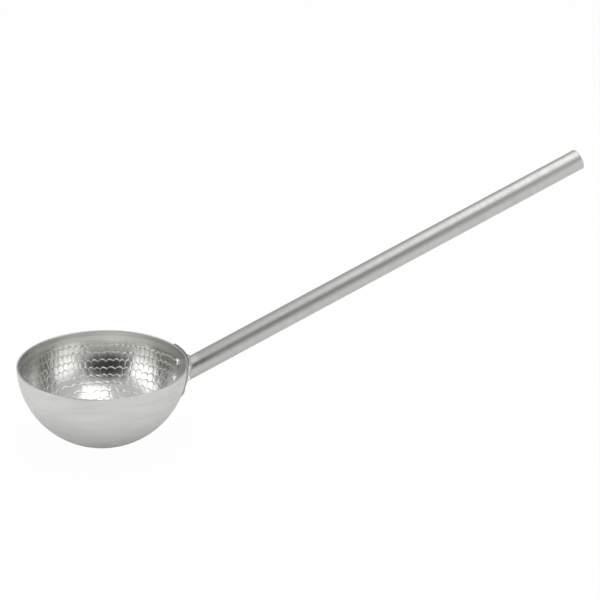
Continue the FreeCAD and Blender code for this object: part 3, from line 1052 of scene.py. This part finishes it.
    def _polish_and_paint_highlight(self, material: bpy.types.Material) -> None:
        """Polish the pipe near its root, where the weld was dressed.

        The roughness is multiplied by a smooth step of the distance from the root. A painted
        highlight turns the colour near white on one upper flank of the root, by the product of two
        smooth steps: of the flank's height over the axis, and of the distance from the root.

        Args:
            material: the drawn pipe's material.
        """
        tree = material.node_tree
        place = add_node(tree, "ShaderNodeTexCoord").outputs["Object"]
        upward, sideways = self.painted_highlight_flank
        flank = upward * self.crown + sideways * self.side
        root = self.to_ball(np.zeros(1), np.zeros(1), self.saddle_face)[0]
        measured = []
        for direction, origin in ((self.axis, root), (flank, self.tip)):
            inputs = {0: place, 1: Vector(direction)}
            reach = add_node(tree, "ShaderNodeVectorMath", {"operation": "DOT_PRODUCT"}, inputs)
            measured.append(NodeValue(tree, reach.outputs["Value"]) - float(origin @ direction))
        along, height = measured
        highlight_full, highlight_end = self.painted_highlight_length
        steps = []
        for value, low, high, at_low, at_high in (
            (along, self.dressed_from, self.dressed_to, self.dressed_share, 1.0),
            (height / self.pipe_radius, *self.painted_highlight_reach, 0.0, 1.0),
            (along, highlight_full, highlight_end, 1.0, 0.0),
        ):
            limits = {"From Min": low, "From Max": high, "To Min": at_low, "To Max": at_high}
            smooth = {"interpolation_type": "SMOOTHSTEP"}
            step = add_node(tree, "ShaderNodeMapRange", smooth, {"Value": value.socket, **limits})
            steps.append(NodeValue(tree, step.outputs[0]))
        polish, flank_share, root_share = steps
        shader = next(node for node in tree.nodes if node.type == "BSDF_PRINCIPLED")
        rough = NodeValue(tree, shader.inputs["Roughness"].links[0].from_socket) * polish
        tree.links.new(rough.socket, shader.inputs["Roughness"])
        # Painted highlight: the colour is mixed towards near white on the root's upper flank.
        drawn = shader.inputs["Base Color"].links[0].from_socket
        painted_highlight = linear_colour(self.painted_highlight_colour)
        colours = {0: (flank_share * root_share).socket, 6: drawn, 7: painted_highlight}
        mixed = add_node(tree, "ShaderNodeMix", {"data_type": "RGBA"}, colours)
        tree.links.new(mixed.outputs[2], shader.inputs["Base Color"])

    def _upright(self) -> Matrix:
        """Rotation that brings the pipe's axis to Z."""
        return Vector(self.axis).rotation_difference(Vector((0.0, 0.0, 1.0))).to_matrix()

    def build_weld(self) -> bpy.types.Object:
        """Make the weld bead: a full, slightly rippled fillet in the corner round the pipe.

        Its section's distances from the pipe and from the saddle's ball are leg * cos^1.5 s and
        leg * sin^1.5 s, with s from 0 to a quarter turn, and it closes at the corner. The leg
        ripples by 5 % 26 times and by 4 % 11 times round the pipe.

        Returns:
            The bead, replacing its CAD node.
        """
        turn = self.turns()[None, :]
        sweep = np.linspace(0.0, QUARTER_TURN, self.weld_rows)[:, None]
        ripple = 1.0 + 0.05 * np.sin(26.0 * turn) + 0.04 * np.sin(11.0 * turn + 1.0)
        from_pipe = self.weld_leg * ripple * np.cos(sweep) ** 1.5
        from_ball = self.weld_leg * ripple * np.sin(sweep) ** 1.5
        corner = np.zeros_like(turn)
        from_pipe = np.concatenate([from_pipe, corner])
        from_ball = np.concatenate([from_ball, corner])
        points = self.to_ball(
            turn + 0.0 * from_pipe, self.pipe_radius + from_pipe, self.saddle_face + from_ball
        )
        rows = len(points)
        flat = points.reshape(-1, 3)
        quads = grid_faces(rows + 1, self.segments, True) % len(flat)
        made = mesh_object("root_weld", flat, quads)
        made.data.materials.append(WELD_METAL.make())
        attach(made, BODY)
        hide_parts("weld_bead")
        return made

    def build_plug(self) -> bpy.types.Object:
        """Make the plug: a disc with a bulged outer face.

        With s from 0 to a quarter turn, the bulge's radius is radius * cos s and its height is
        crown * sin^1.6 s.

        Returns:
            The plug, replacing its CAD node.
        """
        radius = self.pipe_radius - self.pipe_wall - self.plug_clearance
        shoulder = -self.plug_recess - self.plug_crown
        sweep = np.linspace(0.0, 1.0, self.plug_rows) * QUARTER_TURN
        bulge = shoulder + self.plug_crown * np.sin(sweep) ** 1.6
        radii = np.concatenate([[0.0, 0.5 * radius, radius], radius * np.cos(sweep)])
        heights = np.concatenate([[shoulder - self.plug_thickness] * 3, bulge])
        axes = AxisFrame(self.tip, self.axis, self.crown, self.side)
        made = turned_surface("pipe_end_plug", radii, heights, axes, self.plug_segments)
        made.data.materials.append(PRESSED_PLATE.make())
        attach(made, BODY)
        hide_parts("end_plug")
        return made


# ---------------------------------------------------------------- saddle and rivets


@dataclass
class Saddle:
    """Plate pressed to the bowl's outer wall, with tight upper and wide lower corners.

    Attributes:
        bowl: the bowl that the plate lies on.
        low: height of its lower edge.
        high: height of its upper edge.
        half_width: half its width.
        back: radius of its back about the bowl's centre.
        thickness: thickness of the plate.
        upper_corner: radius of the two upper corners.
        lower_corner: radius of the two lower corners.
        edge_rounding: radius of the face's edge.
        edge_steps: distances of the outermost rows and columns from the outline.
        lower_band: distance from the lower edge at which the even rows start.
        edge_band: distance from the other edges at which even rows and columns start.
        even_rows: number of even rows.
        even_columns: number of even columns.
    """

    bowl: Bowl
    low: float
    high: float
    half_width: float
    back: float
    thickness: float = 0.8 * MM
    upper_corner: float = 2.0 * MM
    lower_corner: float = 16.0 * MM
    edge_rounding: float = 0.3 * MM
    edge_steps: tuple[float, ...] = tuple(
        step * MM for step in (0.0, 0.04, 0.10, 0.18, 0.30, 0.5, 0.8, 1.2, 1.6)
    )
    lower_band: float = 2.2 * MM
    edge_band: float = 2.0 * MM
    even_rows: int = 40
    even_columns: int = 58

    def build(self) -> bpy.types.Object:
        """Make the plate as a face grid and a back grid joined round their border.

        A point of either grid is at (sqrt(R^2 - y^2 - (z - depth)^2), y, z), with R the ball's
        radius. The face drops over its last edge_rounding as a quarter round.

        Returns:
            The plate, replacing its CAD node.
        """
        y, z, inset = self._outline_grid()
        share = np.clip(1.0 - inset / self.edge_rounding, 0.0, 1.0)
        drop = self.edge_rounding * (1.0 - np.sqrt(np.maximum(1.0 - share**2, 0.0)))
        face = self._on_ball(self.back + self.thickness - drop, y, z)
        back = self._on_ball(np.full_like(y, self.back), y, z)
        rows, columns = y.shape
        points = np.concatenate([face.reshape(-1, 3), back.reshape(-1, 3)])
        number = np.arange(rows * columns).reshape(rows, columns)
        border = np.concatenate(
            [number[0, :-1], number[:-1, -1], number[-1, :0:-1], number[:0:-1, 0]]
        )
        following = np.roll(border, -1)
        total = rows * columns
        sides = np.stack([border, border + total, following + total, following], -1)
        face_quads = grid_faces(rows, columns, False)
        back_quads = grid_faces(rows, columns, False, total)[:, ::-1]
        quads = np.concatenate([face_quads, back_quads, sides])
        made = mesh_object("saddle_plate", points, quads)
        made.data.materials.append(PRESSED_PLATE.make())
        # The plate's edge faces are darkened: painted shade of the gap along the bowl.
        made.data.materials.append(SHEARED_EDGE_PAINTED_SHADE.make())
        index = np.zeros(len(quads), dtype=np.int32)
        index[-len(sides) :] = 1
        made.data.polygons.foreach_set("material_index", index)
        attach(made, BODY)
        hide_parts("handle_saddle")
        return made

    def _outline_grid(self) -> tuple[np.ndarray, np.ndarray, np.ndarray]:
        """Grid of rows of constant height, each as wide as the outline is there.

        Beside a corner of radius r the row's half width is half_width - r + sqrt(r^2 - s^2), with
        s the height from the row to the corner's centre.

        Returns:
            y and z in metres, and each point's distance inside the outline.
        """
        fine = np.array(self.edge_steps)
        even = self.low + self.lower_band, self.high - self.edge_band
        middle = np.linspace(*even, self.even_rows)
        heights = np.concatenate([self.low + fine, middle, self.high - fine[::-1]])
        over = np.maximum(heights - (self.high - self.upper_corner), 0.0)
        under = np.maximum((self.low + self.lower_corner) - heights, 0.0)
        upper_arc = np.sqrt(np.maximum(self.upper_corner**2 - over**2, 0.0))
        lower_arc = np.sqrt(np.maximum(self.lower_corner**2 - under**2, 0.0))
        half = self.half_width + np.where(
            over > 0.0, upper_arc - self.upper_corner, lower_arc - self.lower_corner
        )
        inner = np.linspace(-1.0, 1.0, self.even_columns + 2)[1:-1]
        y = np.stack([self._row_places(width, fine, inner) for width in half])
        z = heights[:, None] + 0.0 * y
        across_top = np.abs(y) - (self.half_width - self.upper_corner)
        across_low = np.abs(y) - (self.half_width - self.lower_corner)
        in_top = (across_top > 0.0) & (over[:, None] > 0.0)
        in_low = (across_low > 0.0) & (under[:, None] > 0.0)
        inset = np.minimum(self.half_width - np.abs(y), np.minimum(self.high - z, z - self.low))
        inset = np.where(in_top, self.upper_corner - np.hypot(across_top, over[:, None]), inset)
        inset = np.where(in_low, self.lower_corner - np.hypot(across_low, under[:, None]), inset)
        return y, z, np.maximum(inset, 0.0)

    def _row_places(self, half: float, fine: np.ndarray, inner: np.ndarray) -> np.ndarray:
        """Places across one row: close together at its ends and even between them."""
        middle = half - self.edge_band
        return np.concatenate([-half + fine, inner * middle, half - fine[::-1]])

    def _on_ball(self, radius: np.ndarray, y: np.ndarray, z: np.ndarray) -> np.ndarray:
        """Points of a ball about the bowl's centre, on the handle's side, at given y and z."""
        x = np.sqrt(radius**2 - y**2 - (z - self.bowl.depth) ** 2)
        return np.stack([x, y, z], -1)


@dataclass
class Rivet:
    """Domed rivet along a line through the bowl's centre, set over on the saddle.

    Attributes:
        bowl: the bowl that the rivet goes through.
        node: name of the CAD node that it replaces.
        offset: distance along +Y from the middle plane to where it leaves the bowl.
        drop: depth of that point below the rim.
        saddle_face: radius of the saddle's outer face about the bowl's centre.
        shank_radius: radius of the shank.
        head_radius: radius of the head inside the bowl.
        head_height: height of that head.
        tail_radius: radius of the tail on the saddle.
        tail_height: height of that tail.
        dome_points: points from the middle to the edge of either.
        segments: points round the rivet.
    """

    bowl: Bowl
    node: str
    offset: float
    drop: float
    saddle_face: float
    shank_radius: float = 2.0 * MM
    head_radius: float = 3.5 * MM
    head_height: float = 1.6 * MM
    tail_radius: float = 3.0 * MM
    tail_height: float = 2.2 * MM
    dome_points: int = 14
    segments: int = 40

    def build(self) -> bpy.types.Object:
        """Turn the rivet: a flattened head inside, the shank, and a flattened tail outside.

        With s the share of its radius, each is height * sqrt(1 - s^3), so it is full near the edge.

        Returns:
            The rivet, replacing its CAD node.
        """
        share = np.sin(np.linspace(0.0, 1.0, self.dome_points) * QUARTER_TURN)
        seat = self.bowl.inner_radius
        fullness = np.sqrt(1.0 - share**3)
        head_radii = self.head_radius * share
        head_heights = seat - self.head_height * fullness
        tail_radii = self.tail_radius * share[::-1]
        tail_heights = self.saddle_face + self.tail_height * fullness[::-1]
        radii = np.concatenate([head_radii, [self.shank_radius, self.shank_radius], tail_radii])
        heights = np.concatenate([head_heights, [seat, self.saddle_face], tail_heights])
        name = f"domed_{self.node}"
        made = turned_surface(name, radii, heights, self._axes(), self.segments)
        made.data.materials.append(RIVET_METAL.make())
        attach(made, BODY)
        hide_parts(self.node)
        return made

    def _axes(self) -> AxisFrame:
        """Work out the rivet's frame at the bowl's centre.

        Returns:
            Frame whose axis points out through the rivet.
        """
        radius = self.bowl.rim_radius
        reach = math.sqrt(radius**2 - self.offset**2 - self.drop**2)
        axis = np.array([reach, self.offset, -self.drop]) / radius
        across = np.cross(np.array([0.0, 0.0, 1.0]), axis)
        across /= np.linalg.norm(across)
        return AxisFrame(self.bowl.centre, axis, across, np.cross(axis, across))


# ---------------------------------------------------------------- studio


def towards(azimuth: float, elevation: float) -> Vector:
    """Direction at degrees from +X towards +Y and degrees above level."""
    a, e = math.radians(azimuth), math.radians(elevation)
    return Vector((math.cos(a) * math.cos(e), math.sin(a) * math.cos(e), math.sin(e)))


@dataclass(frozen=True)
class Softbox:
    """Soft rectangular lamp that faces the bowl.

    Attributes:
        name: the lamp's name.
        azimuth: degrees from +X towards +Y.
        elevation: degrees above level.
        distance: distance from the bowl, in metres.
        size: width and height in metres.
        radiance: brightness of its face, where 1 reads as white.
    """

    name: str
    azimuth: float
    elevation: float
    distance: float
    size: tuple[float, float]
    radiance: float

    def hang(self, aim: Vector) -> bpy.types.Object:
        """Hang the lamp. A flat lamp of area S that sends radiance L has a power of pi * S * L.

        Args:
            aim: the point that it faces.

        Returns:
            The lamp.
        """
        outward = towards(self.azimuth, self.elevation)
        data = bpy.data.lights.new(self.name, "AREA")
        data.shape = "RECTANGLE"
        data.size, data.size_y = self.size
        data.energy = math.pi * self.size[0] * self.size[1] * self.radiance
        lamp = bpy.data.objects.new(self.name, data)
        turned = outward.to_track_quat("Z", "Y").to_matrix().to_4x4()
        lamp.matrix_world = Matrix.Translation(aim + self.distance * outward) @ turned
        bpy.context.scene.collection.objects.link(lamp)
        return lamp


SOFTBOXES = (
    Softbox("left_softbox", 181.0, 20.0, 1.6, (1.95, 1.05), 0.95),
    Softbox("right_softbox", -37.0, 15.0, 1.6, (1.05, 0.75), 0.92),
    Softbox("top_softbox", -10.0, 78.5, 1.43, (1.60, 0.85), 1.40),
)


@dataclass
class Studio:
    """Pale floor, white surroundings, a dark card, soft lamps and the camera.

    Attributes:
        bowl: the bowl that the camera and the lamps are placed by.
        focal_pixels: the camera's focal length over the size of one of its pixels.
        frame_pixels: width and height of its frame.
        azimuth: degrees by which it stands off the front, towards +X.
        elevation: degrees by which it looks down.
        roll: degrees by which it is turned about its view.
        rim_centre_pixel: where the rim's centre falls in its frame.
        rim_centre_depth: distance of the rim's centre along its view, in metres.
        sensor_width: width of its sensor, in millimetres.
        floor_half: half the floor's side.
        floor_drop: how far the floor lies under the bowl's base.
        floor_colour: sRGB hex of the floor, as the object reflects it and throws shadows on it.
        floor_white: share of the floor's shade that the camera sees as plain white.
        room_low: brightness of the surroundings at eye level, as the metal reflects them.
        room_high: the same overhead.
        card_azimuth: degrees from +X towards +Y of the dark card.
        card_elevation: degrees above level of the card.
        card_distance: its distance from the rim's centre.
        card_half: half its width and half its height.
        card_full: squared share of those halves at which its cover starts to fall.
        card_shade: brightness of its face.
    """

    bowl: Bowl
    focal_pixels: float = 1300.0
    frame_pixels: float = 600.0
    azimuth: float = -18.184
    elevation: float = 21.3875
    roll: float = 2.5595
    rim_centre_pixel: tuple[float, float] = (103.133, 362.922)
    rim_centre_depth: float = 1.14862
    sensor_width: float = 36.0
    floor_half: float = 5.0
    floor_drop: float = 0.02 * MM
    floor_colour: str = "#DADADA"
    floor_white: float = 0.97
    room_low: float = 0.40
    room_high: float = 0.60
    card_azimuth: float = -108.0
    card_elevation: float = 30.0
    card_distance: float = 1.35
    card_half: tuple[float, float] = (1.2, 0.62)
    card_full: float = 0.15
    card_shade: float = 0.01

    def camera_axes(self) -> tuple[Vector, Vector, Vector]:
        """Work out the camera's directions from its azimuth, elevation and roll.

        Returns:
            Its right, up and backward directions.
        """
        a, e, r = (math.radians(v) for v in (self.azimuth, self.elevation, self.roll))
        back = Vector((math.sin(a) * math.cos(e), -math.cos(a) * math.cos(e), math.sin(e)))
        level = Vector((math.cos(a), math.sin(a), 0.0))
        rise = back.cross(level)
        right = math.cos(r) * level + math.sin(r) * rise
        up = -math.sin(r) * level + math.cos(r) * rise
        return right, up, back

    def build_camera(self) -> bpy.types.Object:
        """Place the camera so that the rim's centre falls on its pixel at its depth.

        Returns:
            The scene's camera.
        """
        right, up, back = self.camera_axes()
        middle = self.frame_pixels / 2.0
        across = (self.rim_centre_pixel[0] - middle) / self.focal_pixels * self.rim_centre_depth
        down = (self.rim_centre_pixel[1] - middle) / self.focal_pixels * self.rim_centre_depth
        from_rim = self.rim_centre_depth * back - across * right + down * up
        lens = bpy.data.cameras.new("camera")
        lens.sensor_width = self.sensor_width
        lens.lens = self.focal_pixels / self.frame_pixels * self.sensor_width
        camera = bpy.data.objects.new("camera", lens)
        axes = Matrix((right, up, back)).transposed().to_4x4()
        camera.matrix_world = Matrix.Translation(Vector(self.bowl.centre) + from_rim) @ axes
        bpy.context.scene.collection.objects.link(camera)
        bpy.context.scene.camera = camera
        return camera

    def build_panel(
        self, name: str, centre: Vector, across: Vector, up: Vector, title: str
    ) -> tuple[bpy.types.Object, bpy.types.NodeTree]:
        """Make a flat four-cornered panel with a material of no nodes yet.

        Args:
            name: the panel's name.
            centre: its middle.
            across: from its middle to the middle of one side.
            up: from its middle to the middle of its top.
            title: the material's name.

        Returns:
            The panel and its material's tree.
        """
        corners = [centre + x * across + y * up for x, y in ((-1, -1), (1, -1), (1, 1), (-1, 1))]
        panel = mesh_object(name, np.array(corners), np.array([[0, 1, 2, 3]]))
        material = bpy.data.materials.new(title)
        material.use_nodes = True
        material.node_tree.nodes.clear()
        panel.data.materials.append(material)
        return panel, material.node_tree

    def build_floor(self) -> bpy.types.Object:
        """Lay the pale floor under the bowl. The camera sees it nearly white, with soft shadows.

        Returns:
            The floor.
        """
        middle = Vector((0.0, 0.0, -self.floor_drop))
        sides = Vector((self.floor_half, 0.0, 0.0)), Vector((0.0, self.floor_half, 0.0))
        floor, tree = self.build_panel("floor", middle, *sides, "studio_floor_pale")
        ray = add_node(tree, "ShaderNodeLightPath").outputs
        through = NodeValue(tree, ray["Is Transmission Ray"])
        shown = NodeValue(tree, ray["Is Camera Ray"]).math("MAXIMUM", through) * self.floor_white
        pale = {"Color": linear_colour(self.floor_colour)}
        matt = add_node(tree, "ShaderNodeBsdfDiffuse", inputs=pale)
        white = add_node(tree, "ShaderNodeEmission", inputs={"Color": linear_colour("#FFFFFF")})
        parts = {0: shown.socket, 1: matt.outputs[0], 2: white.outputs[0]}
        mixed = add_node(tree, "ShaderNodeMixShader", inputs=parts)
        add_node(tree, "ShaderNodeOutputMaterial", inputs={"Surface": mixed.outputs[0]})
        return floor

    def build_world(self) -> None:
        """White surroundings: white to the camera, and to reflections a room that pales upwards.

        A reflection at a height z = sin(elevation) sees room_low + (room_high - room_low) * z.
        """
        world = bpy.data.worlds.new("studio_surroundings")
        world.use_nodes = True
        bpy.context.scene.world = world
        tree = world.node_tree
        tree.nodes.clear()
        ray = add_node(tree, "ShaderNodeLightPath")
        direction = add_node(tree, "ShaderNodeTexCoord").outputs["Generated"]
        height = add_node(tree, "ShaderNodeSeparateXYZ", inputs={0: direction}).outputs["Z"]
        limits = {"Value": height, "To Min": self.room_low, "To Max": self.room_high}
        room = add_node(tree, "ShaderNodeMapRange", inputs=limits)
        seen = {0: ray.outputs["Is Glossy Ray"], 2: 1.0, 3: room.outputs[0]}
        strength = add_node(tree, "ShaderNodeMix", {"data_type": "FLOAT"}, seen)
        white = {"Color": linear_colour("#FFFFFF"), "Strength": strength.outputs[0]}
        surroundings = add_node(tree, "ShaderNodeBackground", inputs=white)
        add_node(tree, "ShaderNodeOutputWorld", inputs={"Surface": surroundings.outputs[0]})

    def build_card(self) -> bpy.types.Object:
        """Hang a dark card behind the camera, which only reflections see, with soft edges.

        Its cover falls from 1 to 0 by a smooth step of
        (across / half width)^2 + (rise / half height)^2.

        Returns:
            The card.
        """
        right, up, _ = self.camera_axes()
        outward = towards(self.card_azimuth, self.card_elevation)
        centre = Vector(self.bowl.centre) + self.card_distance * outward
        wide, tall = self.card_half
        sides = wide * right, tall * up
        card, tree = self.build_panel("dark_card", centre, *sides, "studio_card_black")
        place = add_node(tree, "ShaderNodeTexCoord").outputs["Object"]
        ends = {0: place, 1: centre}
        offset = add_node(tree, "ShaderNodeVectorMath", {"operation": "SUBTRACT"}, ends).outputs[0]
        spread = []
        for direction in (right / wide, up / tall):
            ends = {0: offset, 1: direction}
            reach = add_node(tree, "ShaderNodeVectorMath", {"operation": "DOT_PRODUCT"}, ends)
            spread.append(NodeValue(tree, reach.outputs["Value"]).math("POWER", 2.0))
        limits = {"From Min": self.card_full, "From Max": 1.0, "To Min": 1.0, "To Max": 0.0}
        inputs = {"Value": (spread[0] + spread[1]).socket, **limits}
        cover = add_node(tree, "ShaderNodeMapRange", {"interpolation_type": "SMOOTHSTEP"}, inputs)
        clear = add_node(tree, "ShaderNodeBsdfTransparent")
        shade = {"Color": linear_colour("#FFFFFF"), "Strength": self.card_shade}
        black = add_node(tree, "ShaderNodeEmission", inputs=shade)
        parts = {0: cover.outputs[0], 1: clear.outputs[0], 2: black.outputs[0]}
        mixed = add_node(tree, "ShaderNodeMixShader", inputs=parts)
        add_node(tree, "ShaderNodeOutputMaterial", inputs={"Surface": mixed.outputs[0]})
        card.visible_camera = False
        card.visible_diffuse = False
        card.visible_transmission = False
        card.visible_shadow = False
        return card

    def build(self) -> None:
        """Build the camera, floor, surroundings, card and lamps, and set the view transform."""
        bpy.context.scene.view_settings.view_transform = "Standard"
        self.build_camera()
        self.build_floor()
        self.build_world()
        self.build_card()
        for softbox in SOFTBOXES:
            softbox.hang(Vector(self.bowl.centre))


# ---------------------------------------------------------------- the dipper


def mount_named(name: str) -> dict:
    """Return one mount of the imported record."""
    return next(mount for mount in frame["record"]["mounts"] if mount["name"] == name)


def main() -> None:
    """Build the dipper's pieces in order, then the studio."""
    low, high = (np.array(corner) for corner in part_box("bowl"))
    rim_radius = float(high[0] - low[0]) / 2.0 - RIM_MARGIN
    bowl = Bowl(rim_radius=rim_radius, depth=float(high[2] - low[2]))
    grip = mount_named("handle_grip")
    axis = np.array(grip["axis"], dtype=float)
    axis /= np.linalg.norm(axis)
    length = grip["dims"]["length_mm"] * MM
    saddle_back = bowl.rim_radius + LAP_GAP
    saddle_low, saddle_high = (np.array(corner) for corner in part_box("handle_saddle"))
    saddle = Saddle(
        bowl=bowl,
        low=float(saddle_low[2]),
        high=float(saddle_high[2]),
        half_width=float(saddle_high[1] - saddle_low[1]) / 2.0,
        back=saddle_back,
    )
    handle = Handle(
        bowl=bowl,
        pipe_radius=grip["dims"]["r_mm"] * MM,
        tip=np.array(grip["pos_m"]) + (length / 2.0 + TIP_BEYOND_GRIP) * axis,
        axis=axis,
        saddle_face=saddle_back + saddle.thickness,
    )
    made = [bowl.build(), saddle.build()]
    made += [handle.build_pipe(), handle.build_weld(), handle.build_plug()]
    for row, offset, drop in RIVET_ROWS:
        for side, sign in (("left", 1.0), ("right", -1.0)):
            rivet = Rivet(bowl, f"rivet_{row}_{side}", sign * offset, drop, handle.saddle_face)
            made.append(rivet.build())
    for piece in made:
        LOG.info("%s: %d faces", piece.name, len(piece.data.polygons))
    Studio(bowl).build()
    bpy.context.view_layer.update()


if __name__ == "__main__":
    main()
